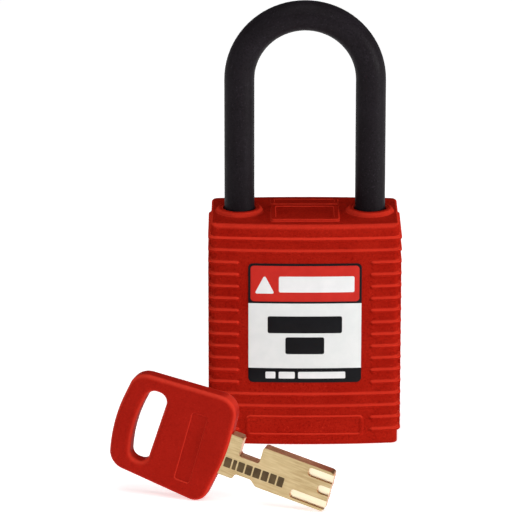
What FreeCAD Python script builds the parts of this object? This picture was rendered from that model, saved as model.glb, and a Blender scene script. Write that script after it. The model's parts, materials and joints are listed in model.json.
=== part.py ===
import FreeCAD
import Part
import math
import os

import Sketcher
from FreeCAD import Placement, Rotation, Vector

# Keyed safety padlock: ribbed nylon body, nylon shackle, six-slider brass cylinder, two locking bolts, loose key.
# Frame: origin at the middle of the body's bottom face, +Z up along the shackle legs, front label facing -Y, mm.

SIZES = {
    # moulded body
    "body_height": 48.9,
    "body_half_width": 19.75,
    "body_half_depth": 10.5,
    "front_bow": 1.2,
    "back_bow": 0.9,
    "corner_radius": 1.4,
    "top_edge_radius": 0.6,
    "cavity_half_width": 17.9,
    "cavity_half_depth": 8.4,
    "cavity_top": 46.6,
    # ribs and side bands
    "rib_height": 0.95,
    "rib_pitch": 2.65,
    "rib_lowest": 3.2,
    "rib_proud_side": 0.65,
    "rib_proud_face": 0.45,
    "panel_half_width": 14.0,
    "panel_bottom": 12.6,
    "panel_top": 41.5,
    "band_half_depth": 6.5,
    "band_bottom": 3.0,
    "band_top": 47.3,
    # raised features on the top and the lower front
    "collar_radius": 5.0,
    "collar_height": 0.9,
    "pad_half_width": 7.2,
    "pad_front": 8.0,
    "pad_back": 2.5,
    "pad_height": 0.6,
    "bar_front": 4.2,
    "bar_back": 8.4,
    "bar_height": 0.3,
    "plaque_half_width": 12.4,
    "plaque_bottom": 1.9,
    "plaque_top": 6.5,
    "plaque_proud": 0.3,
    # labels
    "label_half_width": 11.9,
    "label_bottom": 14.1,
    "label_top": 40.4,
    "label_thickness": 0.15,
    "label_corner": 1.0,
    # shackle
    "shackle_radius": 3.175,
    "leg_offset": 13.8,
    "arch_spring": 77.7,
    "toe_end": 36.6,
    "heel_end": 17.0,
    "leg_gap": 0.2,
    "notch_floor": 11.65,
    "notch_bottom": 38.1,
    "notch_top": 45.4,
    # retaining pin of the long leg
    "heel_pin_radius": 1.0,
    "heel_pin_level": 35.0,
    "heel_pin_side": 2.95,
    "heel_flat": 1.7,
    "heel_groove_bottom": 19.8,
    "heel_groove_top": 36.4,
    # shackle spring
    "shackle_spring_radius": 2.4,
    "shackle_spring_wire": 0.4,
    "shackle_spring_turns": 8,
    # inner core, cap and screws
    "cap_thickness": 2.95,
    "core_bottom": 3.0,
    "core_split": 40.0,
    "core_gap": 0.05,
    "screw_x": 10.6,
    "screw_y": 6.0,
    "screw_radius": 1.1,
    "screw_head_radius": 1.9,
    "screw_head_height": 1.1,
    "screw_length": 9.0,
    # cylinder
    "housing_radius": 7.3,
    "housing_bottom": 0.3,
    "housing_top": 25.5,
    "plug_radius": 5.5,
    "plug_gap": 0.05,
    "plug_bottom": 0.6,
    "plug_top": 26.6,
    "plug_head_radius": 6.4,
    "plug_head_top": 1.6,
    "clip_bottom": 25.6,
    "clip_thickness": 0.7,
    "clip_inner": 4.6,
    "clip_outer": 6.7,
    "cylinder_pin_radius": 1.0,
    "cylinder_pin_x": 7.6,
    "cylinder_pin_level": 14.0,
    # keyway, sliders and side bars
    "keyway_half_width": 4.6,
    "keyway_half_gap": 1.35,
    "keyway_top": 21.0,
    "slider_width": 1.6,
    "slider_depth": 1.3,
    "slider_gap": 0.12,
    "slider_bottom": 9.0,
    "slider_top": 15.5,
    "slider_lug": 0.45,
    "slider_lug_bottom": 11.6,
    "slider_lug_height": 1.2,
    "slider_groove_top": 24.2,
    "slider_spring_radius": 0.5,
    "slider_spring_wire": 0.11,
    "slider_spring_turns": 8,
    "bar_width": 1.3,
    "bar_bottom": 8.0,
    "bar_top": 18.0,
    "bar_outer": 5.2,
    "clip_mouth_half_width": 2.6,
    # tailpiece, cam disc and bolts
    "tang_half_width": 3.0,
    "tang_half_depth": 0.8,
    "tang_bottom": 24.6,
    "tail_radius": 2.5,
    "tail_top": 40.4,
    "drive_half_width": 1.3,
    "drive_top": 41.8,
    "disc_radius": 7.4,
    "disc_bottom": 40.45,
    "disc_top": 41.9,
    "disc_chamber_radius": 7.7,
    "disc_chamber_top": 42.75,
    "cam_screw_radius": 0.6,
    "cam_screw_head_radius": 1.5,
    "cam_screw_head_height": 0.65,
    "bolt_pin_radius": 0.8,
    "bolt_pin_offset": 6.1,
    "bolt_travel": 2.7,
    "bolt_slot_gap": 0.2,
    "bolt_inner": 5.1,
    "bolt_outer": 11.4,
    "bolt_half_width": 1.9,
    "bolt_bottom": 42.9,
    "bolt_top": 45.1,
    "bolt_gap": 0.2,
    # small features and running gaps
    "foot_window_low": 0.5,
    "foot_window_high": 7.4,
    "screw_head_low": 0.3,
    "screw_slot_half_length": 1.2,
    "screw_slot_half_width": 0.3,
    "screw_slot_depth": 0.6,
    "cap_corner": 0.05,
    "toe_end_gap": 0.5,
    "plug_top_gap": 0.6,
    "tail_gap": 0.3,
    "heel_pin_inset": 0.3,
    "heel_pin_length": 7.8,
    "leg_end_round": 0.8,
    "cam_screw_reach": 3.5,
    "cam_screw_gap": 0.03,
    "cam_screw_slot_half": 0.2,
    "cam_screw_slot_depth": 0.3,
    # key, drawn along its own X axis with the shoulder at 0
    "key_x": -13.47,
    "key_y": -44.98,
    "key_yaw": 16.0,
    "key_dip": 15.4,
    "blade_half_thickness": 1.2,
    "blade_half_height": 4.45,
    "blade_tip": 19.8,
    "blade_step_start": 3.45,
    "blade_step_end": 4.75,
    "blade_corner": 0.6,
    "blade_tip_corner": 1.0,
    "shoulder_top": 4.75,
    "shoulder_bottom": 4.55,
    "step_height": 3.35,
    "neck_half_height": 3.0,
    "neck_end": 11.0,
    "notch_start": 0.25,
    "notch_end": 4.25,
    "notch_height": 0.7,
    "key_slot_depth": 0.5,
    "key_slot_end": 0.75,
    "bow_near": 2.85,
    "bow_near_corner": 3.55,
    "bow_far": 27.25,
    "bow_far_corner": 25.55,
    "bow_half_near": 12.35,
    "bow_half_far": 10.75,
    "bow_half_thickness": 1.95,
    "bow_corner": 3.8,
    "bow_side_round": 12.0,
    "bow_rim": 1.2,
    "bow_slot_near": 17.75,
    "bow_slot_far": 23.05,
    "bow_slot_far_corner": 22.05,
    "bow_slot_half_height": 7.95,
    "bow_slot_corner": 2.0,
}

# Key slots and the sliders they push: (centre across the blade, where the slot starts, slot width).
KEY_SLOTS = [(2.95, 14.4, 1.9), (0.05, 17.2, 1.9), (-2.95, 12.0, 1.9)]

BIG = 400.0

doc = FreeCAD.newDocument("SafetyPadlock")
sheet = doc.addObject("Spreadsheet::Sheet", "Sizes")
# How far a cutting solid reaches past what it cuts, how far two fused solids reach into each other,
# and the gap between pieces that fit closely.
OVER = 1
LAP = 0.1
CLOSE = 0.05

parts = []


class Dim:
    """A length with its value and the sheet expression it comes from."""

    def __init__(self, value, text):
        self.value = float(value)
        self.text = text

    def join(self, sign, other, value):
        return Dim(value, "(%s %s %s)" % (self.text, sign, text_of(other)))

    def __add__(self, other):
        return self.join("+", other, self.value + value_of(other))

    def __sub__(self, other):
        return self.join("-", other, self.value - value_of(other))

    def __mul__(self, other):
        return self.join("*", other, self.value * value_of(other))

    def __truediv__(self, other):
        return self.join("/", other, self.value / value_of(other))

    def __neg__(self):
        return Dim(-self.value, "(-1 * %s)" % self.text)


def value_of(length):
    return length.value if isinstance(length, Dim) else float(length)


def text_of(length):
    return length.text if isinstance(length, Dim) else "%.6g" % length


def fill_sheet():
    for row, (alias, value) in enumerate(SIZES.items(), start=1):
        sheet.set("A%d" % row, alias)
        sheet.set("B%d" % row, "%g" % value)
        sheet.setAlias("B%d" % row, alias)
    doc.recompute()


def size(alias):
    return Dim(sheet.get(alias), "Sizes." + alias)


def link(obj, prop, length):
    """Binds a property to the sheet, or sets it when it is a plain number."""
    obj.setExpression(prop, text_of(length))


def place(obj, x=0, y=0, z=0):
    for axis, length in (("x", x), ("y", y), ("z", z)):
        link(obj, "Placement.Base." + axis, length)


# Solids bound to the sheet

def box(name, x_span, y_span, z_span):
    solid = doc.addObject("Part::Box", name)
    for prop, (low, high) in (("Length", x_span), ("Width", y_span), ("Height", z_span)):
        link(solid, prop, as_dim(high) - low)
    place(solid, x_span[0], y_span[0], z_span[0])
    return solid


def as_dim(length):
    return length if isinstance(length, Dim) else Dim(length, "%.6g" % length)


def cylinder(name, radius, z_span, x=0, y=0):
    solid = doc.addObject("Part::Cylinder", name)
    link(solid, "Radius", radius)
    link(solid, "Height", as_dim(z_span[1]) - z_span[0])
    place(solid, x, y, z_span[0])
    return solid


def rod(name, radius, start, length, axis):
    """Cylinder lying along +X or +Y from its start point."""
    solid = doc.addObject("Part::Cylinder", name)
    turn = Rotation(Vector(0, 1, 0), 90) if axis == "x" else Rotation(Vector(1, 0, 0), -90)
    solid.Placement = Placement(Vector(0, 0, 0), turn)
    link(solid, "Radius", radius)
    link(solid, "Height", length)
    place(solid, *start)
    return solid


def cut(name, base, *tools):
    result = doc.addObject("Part::Cut", name)
    result.Base = base
    result.Tool = tools[0] if len(tools) == 1 else fuse(name + "_tools", *tools)
    return result


def fuse(name, *solids):
    result = doc.addObject("Part::MultiFuse", name)
    result.Shapes = list(solids)
    return result


def common(name, *solids):
    result = doc.addObject("Part::MultiCommon", name)
    result.Shapes = list(solids)
    return result


def shape_object(name, shape):
    result = doc.addObject("Part::Feature", name)
    result.Shape = shape
    return result


def edge_numbers(shape, test):
    return [number for number, edge in enumerate(shape.Edges, start=1) if test(edge)]


def rounded(name, base, radius, test):
    """Rounds the edges of base that pass the test."""
    doc.recompute()
    result = doc.addObject("Part::Fillet", name)
    result.Base = base
    result.Edges = [(number, value_of(radius), value_of(radius)) for number in edge_numbers(base.Shape, test)]
    return result


def node(name, obj):
    """Names one separate piece of the padlock."""
    obj.Label = name
    parts.append(obj)
    return obj


# Sketch-based bodies

def new_body(name):
    return doc.addObject("PartDesign::Body", name)


def new_sketch(body, name, role, offset=None):
    sketch = body.newObject("Sketcher::SketchObject", name)
    plane = [feature for feature in body.Origin.OriginFeatures if feature.Role == role][0]
    sketch.AttachmentSupport = [(plane, "")]
    sketch.MapMode = "FlatFace"
    if offset is not None:
        link(sketch, "AttachmentOffset.Base.z", offset)
    return sketch


def hold(sketch, kind, geometry, point, length):
    """Fixes one coordinate of a point as a distance from the sketch's origin."""
    if abs(value_of(length)) < 1e-9:
        axis = -2 if kind == "DistanceX" else -1
        sketch.addConstraint(Sketcher.Constraint("PointOnObject", geometry, point, axis))
        return
    number = sketch.addConstraint(Sketcher.Constraint(kind, -1, 1, geometry, point, value_of(length)))
    sketch.setExpression("Constraints[%d]" % number, text_of(length))


def draw_polygon(sketch, points):
    """Adds one closed outline of straight lines."""
    first = sketch.GeometryCount
    count = len(points)
    for index, (x, y) in enumerate(points):
        next_x, next_y = points[(index + 1) % count]
        start = Vector(value_of(x), value_of(y), 0)
        end = Vector(value_of(next_x), value_of(next_y), 0)
        sketch.addGeometry(Part.LineSegment(start, end), False)
    for index in range(count):
        following = first + (index + 1) % count
        sketch.addConstraint(Sketcher.Constraint("Coincident", first + index, 2, following, 1))
    for index, (x, y) in enumerate(points):
        hold(sketch, "DistanceX", first + index, 1, x)
        hold(sketch, "DistanceY", first + index, 1, y)


def rectangle(x_span, y_span):
    return [(x_span[0], y_span[0]), (x_span[1], y_span[0]), (x_span[1], y_span[1]), (x_span[0], y_span[1])]


def draw_circle(sketch, x, y, radius):
    number = sketch.addGeometry(Part.Circle(Vector(value_of(x), value_of(y), 0), Vector(0, 0, 1),
                                            value_of(radius)), False)
    hold(sketch, "DistanceX", number, 3, x)
    hold(sketch, "DistanceY", number, 3, y)
    constraint = sketch.addConstraint(Sketcher.Constraint("Radius", number, value_of(radius)))
    sketch.setExpression("Constraints[%d]" % constraint, text_of(radius))


def pad(body, sketch, length, both_ways=False):
    feature = body.newObject("PartDesign::Pad", sketch.Name + "_pad")
    feature.Profile = sketch
    link(feature, "Length", length)
    feature.Midplane = both_ways
    sketch.Visibility = False
    return feature


def pocket(body, sketch, length, both_ways=False, away=False):
    """Cuts the sketch out and makes sure that something was removed."""
    before = body.Shape.Volume
    feature = body.newObject("PartDesign::Pocket", sketch.Name + "_pocket")
    feature.Profile = sketch
    link(feature, "Length", length)
    feature.Midplane = both_ways
    feature.Reversed = away
    doc.recompute()
    if body.Shape.Volume > before - 1e-6:
        raise RuntimeError(feature.Name + " cuts nothing")
    return feature


def round_body(body, radius, test):
    doc.recompute()
    feature = body.newObject("PartDesign::Fillet", body.Name + "_round%d" % len(body.Group))
    base = body.Group[-2] if body.Group[-1] is feature else body.Tip
    feature.Base = (base, ["Edge%d" % number for number in edge_numbers(base.Shape, test)])
    link(feature, "Radius", radius)
    doc.recompute()
    return feature


# Edge tests

def upright(edge):
    """A straight edge parallel to Z."""
    low, high = edge.Vertexes[0].Point, edge.Vertexes[-1].Point
    return abs(abs(high.z - low.z) - edge.Length) < 1e-6 and edge.Length > 1e-3


def at_level(level):
    """An edge that lies wholly at one height."""
    def test(edge):
        bounds = edge.BoundBox
        return abs(bounds.ZMin - level) < 1e-6 and abs(bounds.ZMax - level) < 1e-6
    return test


# Body shell

def bow_radius(half_width, bow):
    return (half_width * half_width + bow * bow) / (bow * 2)


def bowed_block(name, grow_side, grow_face, z_span):
    """A block whose front and back bulge outwards as large arcs."""
    half_width = size("body_half_width")
    half_depth = size("body_half_depth")
    side = half_width + grow_side
    slab = box(name + "_slab", (-side, side), (-(half_depth + grow_face), half_depth + grow_face), z_span)
    arcs = []
    for face, bow, direction in (("front", size("front_bow"), -1), ("back", size("back_bow"), 1)):
        radius = bow_radius(half_width, bow) + grow_face
        centre = (half_depth + grow_face - radius) * direction
        arcs.append(cylinder("%s_%s" % (name, face), radius, z_span, y=centre))
    return common(name, slab, *arcs)


def rib_levels():
    count = 17
    return [(size("rib_lowest") + size("rib_pitch") * index) - size("rib_height") / 2 for index in range(count)]


def make_ribs():
    height = size("body_height")
    stack = bowed_block("rib_stack", size("rib_proud_side"), size("rib_proud_face"),
                        (size("rib_height"), height - size("rib_height")))
    stack = rounded("rib_stack_round", stack, size("corner_radius") + size("rib_proud_face"), upright)
    slabs = []
    for number, level in enumerate(rib_levels()):
        slabs.append(box("rib_slab_%02d" % number, (-BIG, BIG), (-BIG, BIG), (level, level + size("rib_height"))))
    rings = common("rib_rings", stack, fuse("rib_slabs", *slabs))
    panel = size("panel_half_width")
    label_window = box("label_window", (-panel, panel), (-BIG, BIG), (size("panel_bottom"), size("panel_top")))
    low_window = box("low_window", (-panel, panel), (-BIG, BIG), (size("foot_window_low"), size("foot_window_high")))
    return cut("ribs", rings, label_window, low_window)


def make_side_bands():
    reach = size("body_half_width") + size("rib_proud_side")
    depth = size("band_half_depth")
    levels = (size("band_bottom"), size("band_top"))
    inner = size("body_half_width") - OVER
    return [box("band_right", (inner, reach), (-depth, depth), levels),
            box("band_left", (-reach, -inner), (-depth, depth), levels)]


def make_plaque():
    raised = bowed_block("plaque_stack", 0, size("plaque_proud"), (size("plaque_bottom"), size("plaque_top")))
    half = size("plaque_half_width")
    front = box("plaque_window", (-half, half), (-BIG, -size("cavity_half_depth") - 1), (0, size("body_height")))
    return common("plaque", raised, front)


def make_shell():
    height = size("body_height")
    top = value_of(height)
    outside = bowed_block("shell_block", 0, 0, (0, height))
    outside = rounded("shell_corners", outside, size("corner_radius"), upright)
    outside = rounded("shell_top", outside, size("top_edge_radius"), at_level(top))
    leg = size("leg_offset")
    collar_levels = (height - 1, height + size("collar_height"))
    collars = [cylinder("collar_%s" % side, size("collar_radius"), collar_levels, x=x)
               for side, x in (("left", -leg), ("right", leg))]
    half_pad = size("pad_half_width")
    raised = [
        box("top_pad", (-half_pad, half_pad), (-size("pad_front"), size("pad_back")),
            (height - 1, height + size("pad_height"))),
        box("top_bar", (-half_pad, half_pad), (size("bar_front"), size("bar_back")),
            (height - 1, height + size("bar_height"))),
    ]
    solid = fuse("shell_solid", outside, make_ribs(), make_plaque(), *(make_side_bands() + collars + raised))
    wide = size("cavity_half_width")
    deep = size("cavity_half_depth")
    cavity = box("shell_cavity", (-wide, wide), (-deep, deep), (-1, size("cavity_top")))
    hole_radius = size("shackle_radius") + size("leg_gap")
    holes = [cylinder("shell_hole_%s" % side, hole_radius, (size("cavity_top") - 1, height + 5), x=x)
             for side, x in (("left", -leg), ("right", leg))]
    node("body_shell", cut("body_shell", solid, cavity, *holes))


def make_label(name, face, direction):
    """A thin sheet that follows the bow of the front or the back."""
    half_width = size("body_half_width")
    radius = bow_radius(half_width, size(face + "_bow"))
    centre = (size("body_half_depth") - radius) * direction
    levels = (size("label_bottom"), size("label_top"))
    skin = cut(name + "_skin",
               cylinder(name + "_outer", radius + size("label_thickness"), levels, y=centre),
               cylinder(name + "_inner", radius, levels, y=centre))
    half = size("label_half_width")
    near = size("body_half_depth") - 2
    far = size("body_half_depth") + 2
    y_span = (near, far) if direction > 0 else (-far, -near)
    window = box(name + "_window", (-half, half), y_span, levels)
    window = rounded(name + "_corners", window, size("label_corner"), along_y)
    node(name, common(name, skin, window))


def along_y(edge):
    low, high = edge.Vertexes[0].Point, edge.Vertexes[-1].Point
    return abs(abs(high.y - low.y) - edge.Length) < 1e-6 and edge.Length > 1e-3


# Core and cap

def screw_places():
    return [("a", -size("screw_x"), size("screw_y")), ("b", size("screw_x"), -size("screw_y"))]


def leg_bores(name, z_span, sides=("left", "right")):
    radius = size("shackle_radius") + size("leg_gap")
    offset = {"left": -size("leg_offset"), "right": size("leg_offset")}
    return [cylinder("%s_%s" % (name, side), radius, z_span, x=offset[side]) for side in sides]


def make_lower_core():
    gap = size("core_gap")
    wide = size("cavity_half_width") - gap
    deep = size("cavity_half_depth") - gap
    block = box("lower_core_block", (-wide, wide), (-deep, deep), (size("core_bottom"), size("core_split")))
    bores = leg_bores("heel_bore", (0, size("core_split") + OVER), ("left",))
    bores += leg_bores("toe_bore", (size("toe_end") - size("toe_end_gap"), size("core_split") + OVER), ("right",))
    bores.append(cylinder("housing_bore", size("housing_radius") + gap, (0, size("plug_top") + size("plug_top_gap"))))
    bores.append(cylinder("tail_bore", size("tail_radius") + size("tail_gap"), (0, size("core_split") + OVER)))
    for tag, x, y in screw_places():
        bores.append(cylinder("core_screw_hole_" + tag, size("screw_radius") + gap,
                              (0, size("screw_length") + 1), x=x, y=y))
    bores.append(heel_pin("heel_pin_bore", gap / 2))
    bores.append(cylinder_pin("cylinder_pin_bore", gap / 2, 0))
    node("lower_core", cut("lower_core", block, *bores))


def make_upper_core():
    gap = size("core_gap")
    wide = size("cavity_half_width") - gap
    deep = size("cavity_half_depth") - gap
    top = size("cavity_top") - gap
    block = box("upper_core_block", (-wide, wide), (-deep, deep), (size("core_split") + gap, top))
    bores = leg_bores("upper_bore", (size("core_split") - 1, top + 1))
    bores.append(cylinder("disc_chamber", size("disc_chamber_radius"),
                          (size("core_split") - 1, size("disc_chamber_top"))))
    reach = size("leg_offset")
    half = size("bolt_half_width") + size("bolt_gap")
    bores.append(box("bolt_channel", (-reach, reach), (-half, half),
                     (size("bolt_bottom") - size("bolt_gap") * 2, size("bolt_top") + size("bolt_gap"))))
    node("upper_core", cut("upper_core", block, *bores))


def make_bottom_cap():
    gap = size("core_gap")
    wide = size("cavity_half_width") - gap
    deep = size("cavity_half_depth") - gap
    plate = box("cap_plate", (-wide, wide), (-deep, deep), (0, size("cap_thickness")))
    plate = rounded("cap_corners", plate, size("cap_corner"), upright)
    holes = [cylinder("cap_bore", size("housing_radius") + gap, (-OVER, size("cap_thickness") + OVER))]
    for tag, x, y in screw_places():
        holes.append(cylinder("cap_screw_hole_" + tag, size("screw_radius") + gap,
                              (-OVER, size("cap_thickness") + OVER), x=x, y=y))
        holes.append(cylinder("cap_sink_" + tag, size("screw_head_radius") + gap * 4,
                              (-OVER, size("screw_head_height") + size("screw_head_low")), x=x, y=y))
    node("bottom_cap", cut("bottom_cap", plate, *holes))


def make_cap_screws():
    head_low = size("screw_head_low")
    head_high = size("screw_head_height") + head_low
    long = size("screw_slot_half_length")
    thin = size("screw_slot_half_width")
    screws = []
    for tag, x, y in screw_places():
        head = cylinder("screw_head_" + tag, size("screw_head_radius"), (head_low, head_high), x=x, y=y)
        shank = cylinder("screw_shank_" + tag, size("screw_radius"), (head_high - LAP, size("screw_length")), x=x, y=y)
        levels = (-OVER, head_low + size("screw_slot_depth"))
        slot_a = box("screw_slot_%s1" % tag, (x - long, x + long), (y - thin, y + thin), levels)
        slot_b = box("screw_slot_%s2" % tag, (x - thin, x + thin), (y - long, y + long), levels)
        screws.append(cut("screw_" + tag, fuse("screw_blank_" + tag, head, shank), slot_a, slot_b))
    node("cap_screws", group("cap_screws", screws))


def group(name, solids):
    """Several separate solids kept as one piece of the list."""
    result = doc.addObject("Part::Compound", name)
    result.Links = list(solids)
    return result


# Cylinder

def heel_pin(name, grow=0):
    start = -size("cavity_half_width") + size("heel_pin_inset")
    radius = size("heel_pin_radius") + grow
    return rod(name, radius, (start, size("heel_pin_side"), size("heel_pin_level")), size("heel_pin_length"), "x")


def cylinder_pin(name, grow=0, shorter=LAP):
    half = size("cavity_half_depth") - size("core_gap") - shorter
    start = (size("cylinder_pin_x"), -half, size("cylinder_pin_level"))
    return rod(name, size("cylinder_pin_radius") + grow, start, half * 2, "y")


def make_housing():
    levels = (size("housing_bottom"), size("housing_top"))
    tube = cylinder("housing_tube", size("housing_radius"), levels)
    bore = cylinder("plug_bore", size("plug_radius") + size("plug_gap"), (-1, size("housing_top") + 1))
    sink = cylinder("plug_head_sink", size("plug_head_radius") + size("plug_gap"),
                    (-1, size("plug_head_top") + 0.05))
    node("cylinder_housing", cut("cylinder_housing", tube, bore, sink,
                                 cylinder_pin("housing_pin_groove", size("core_gap") / 2, 0)))
    node("cylinder_retaining_pin", cylinder_pin("cylinder_retaining_pin"))
    node("shackle_retaining_pin", heel_pin("shackle_retaining_pin"))


def slider_places():
    """Number, centre X and facing side (-1 front, +1 back) of the six sliders."""
    places = []
    for side in (-1, 1):
        for across, start, width in KEY_SLOTS:
            places.append((len(places) + 1, across * -side, side))
    return places


def y_span_of(side, near, far):
    return (near, far) if side > 0 else (-far, -near)


def make_plug():
    radius = size("plug_radius")
    top = size("plug_top")
    stem = cylinder("plug_stem", radius, (size("plug_bottom"), top))
    head = cylinder("plug_head", size("plug_head_radius"), (size("plug_bottom"), size("plug_head_top")))
    wide = size("keyway_half_width")
    gap = size("keyway_half_gap")
    cuts = [box("keyway", (-wide, wide), (-gap, gap), (-1, size("keyway_top")))]
    half = size("slider_width") / 2 + size("slider_gap")
    for number, x, side in slider_places():
        span = y_span_of(side, gap - LAP, gap + size("slider_depth") + size("slider_gap"))
        cuts.append(box("slider_groove_%d" % number, (as_dim(x) - half, as_dim(x) + half), span,
                        (size("slider_bottom") - LAP, size("slider_groove_top"))))
    bar = size("bar_width") / 2 + size("slider_gap")
    for side, face in ((-1, "front"), (1, "back")):
        span = y_span_of(side, gap + size("slider_depth"), size("plug_radius") + 1)
        cuts.append(box("bar_groove_" + face, (-bar, bar), span, (size("bar_bottom") - LAP, size("bar_top") + LAP)))
    neck = cut("clip_groove", cylinder("clip_groove_outer", radius + 2, clip_levels(CLOSE)),
               cylinder("clip_groove_core", size("clip_inner") - CLOSE, clip_levels(OVER)))
    tang = size("tang_half_width") + CLOSE
    thin = size("tang_half_depth") + CLOSE
    cuts += [neck, box("tang_slot", (-tang, tang), (-thin, thin), (size("tang_bottom") - CLOSE, top + OVER))]
    node("plug", cut("plug", fuse("plug_blank", stem, head), *cuts))


def clip_levels(grow):
    return (size("clip_bottom") - grow, size("clip_bottom") + size("clip_thickness") + grow)


def make_plug_clip():
    ring = cut("clip_ring", cylinder("clip_outer_disc", size("clip_outer"), clip_levels(0)),
               cylinder("clip_inner_disc", size("clip_inner"), clip_levels(OVER)))
    mouth_half = size("clip_mouth_half_width")
    mouth = box("clip_mouth", (-mouth_half, mouth_half), (0, BIG), clip_levels(OVER))
    node("plug_retaining_clip", cut("plug_retaining_clip", ring, mouth))


def make_sliders():
    near = size("keyway_half_gap")
    half = size("slider_width") / 2
    low = size("slider_bottom")
    high = size("slider_top")
    lug = size("slider_lug_bottom")
    for number, x, side in slider_places():
        centre = as_dim(x)
        x_span = (centre - half, centre + half)
        bar = box("slider_bar_%d" % number, x_span, y_span_of(side, near, near + size("slider_depth")), (low, high))
        tooth = box("slider_lug_%d" % number, x_span, y_span_of(side, near - size("slider_lug"), near + LAP),
                    (lug, lug + size("slider_lug_height")))
        node("slider_%d" % number, fuse("slider_%d" % number, bar, tooth))
        middle = value_of(near + size("slider_depth") / 2) * side
        make_spring("slider_spring_%d" % number, "slider_spring", x, middle, high, size("slider_groove_top"))


def make_spring(name, kind, x, y, low, high):
    """Round wire wound from just above one level to just below another."""
    radius = value_of(size(kind + "_radius"))
    wire = value_of(size(kind + "_wire"))
    end_gap = wire + CLOSE
    rise = value_of(high) - value_of(low) - 2 * end_gap
    spine = Part.Wire(Part.makeHelix(rise / value_of(size(kind + "_turns")), rise, radius))
    section = Part.Wire(Part.makeCircle(wire, Vector(radius, 0, 0), Vector(0, 1, 0)))
    spring = shape_object(name, spine.makePipeShell([section], True, True))
    spring.Placement = Placement(Vector(value_of(x), value_of(y), value_of(low) + end_gap), Rotation())
    node(name, spring)


def make_side_bars():
    near = size("keyway_half_gap") + size("slider_depth") + size("slider_gap")
    half = size("bar_width") / 2
    bars = []
    for side, face in ((-1, "front"), (1, "back")):
        span = y_span_of(side, near, size("bar_outer"))
        bars.append(box("side_bar_" + face, (-half, half), span, (size("bar_bottom"), size("bar_top"))))
    node("side_bars", group("side_bars", bars))


# Tailpiece, cam disc and bolts

def make_tailpiece():
    wide = size("tang_half_width")
    thin = size("tang_half_depth")
    drive = size("drive_half_width")
    top = size("plug_top")
    tang = box("tail_tang", (-wide, wide), (-thin, thin), (size("tang_bottom"), top + LAP * 2))
    collar = cylinder("tail_collar", size("tail_radius"), (top + LAP, size("tail_top")))
    square = box("tail_drive", (-drive, drive), (-drive, drive), (size("tail_top") - LAP, size("drive_top")))
    hole = cylinder("tail_screw_hole", size("cam_screw_radius"), (size("tail_top") - size("cam_screw_reach") - LAP, size("drive_top") + OVER))
    node("tailpiece", cut("tailpiece", fuse("tail_blank", tang, collar, square), hole))


def scroll_slot(start_angle):
    """The slot that draws a bolt's pin straight inwards while the disc turns a quarter turn."""
    rest = value_of(size("bolt_pin_offset"))
    travel = value_of(size("bolt_travel"))
    half = value_of(size("bolt_pin_radius") + size("bolt_slot_gap"))
    low = value_of(size("disc_bottom")) - 1
    height = value_of(size("disc_top")) - low + 1
    steps = 12
    centre_line = []
    for step in range(steps + 1):
        turn = 90.0 * step / steps
        angle = math.radians(start_angle - turn)
        radius = rest - travel * turn / 90.0
        centre_line.append(Vector(radius * math.cos(angle), radius * math.sin(angle), low))
    walls = []
    for side in (-1, 1):
        wall = []
        for index, point in enumerate(centre_line):
            along = centre_line[min(index + 1, steps)] - centre_line[max(index - 1, 0)]
            along.normalize()
            wall.append(point + Vector(-along.y, along.x, 0) * half * side)
        walls.append(wall)
    edges = [spline(walls[0]), line(walls[0][-1], walls[1][-1]), spline(walls[1]), line(walls[1][0], walls[0][0])]
    face = Part.Face(Part.Wire(Part.__sortEdges__(edges)))
    slot = face.extrude(Vector(0, 0, height))
    for end in (centre_line[0], centre_line[-1]):
        slot = slot.fuse(Part.makeCylinder(half, height, end))
    return slot


def spline(points):
    curve = Part.BSplineCurve()
    curve.interpolate(points)
    return curve.toShape()


def line(start, end):
    return Part.LineSegment(start, end).toShape()


def make_cam_disc():
    levels = (size("disc_bottom"), size("disc_top"))
    drive = size("drive_half_width") + CLOSE
    plate = cylinder("disc_plate", size("disc_radius"), levels)
    hub = box("disc_hub", (-drive, drive), (-drive, drive), (0, size("body_height")))
    slots = [shape_object("scroll_slot_%d" % angle, scroll_slot(angle)) for angle in (0, 180)]
    node("cam_disc", cut("cam_disc", plate, hub, *slots))
    top = size("disc_top") + CLOSE
    head = cylinder("cam_screw_head", size("cam_screw_head_radius"), (top, top + size("cam_screw_head_height")))
    shank = cylinder("cam_screw_shank", size("cam_screw_radius") - size("cam_screw_gap"),
                     (size("tail_top") - size("cam_screw_reach"), top + LAP))
    thin = size("cam_screw_slot_half")
    slot = box("cam_screw_slot", (-BIG, BIG), (-thin, thin),
               (top + size("cam_screw_head_height") - size("cam_screw_slot_depth"), BIG))
    node("cam_screw", cut("cam_screw", fuse("cam_screw_blank", head, shank), slot))


def make_bolts():
    half = size("bolt_half_width")
    for side, direction in (("left", -1), ("right", 1)):
        ends = (size("bolt_inner") * direction, size("bolt_outer") * direction)
        x_span = ends if direction > 0 else (ends[1], ends[0])
        bar = box("bolt_bar_" + side, x_span, (-half, half), (size("bolt_bottom"), size("bolt_top")))
        pin = cylinder("bolt_pin_" + side, size("bolt_pin_radius"), (size("disc_bottom") + LAP,
                       size("bolt_bottom") + LAP), x=size("bolt_pin_offset") * direction)
        node("locking_bolt_" + side, fuse("locking_bolt_" + side, bar, pin))


# Shackle

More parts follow.
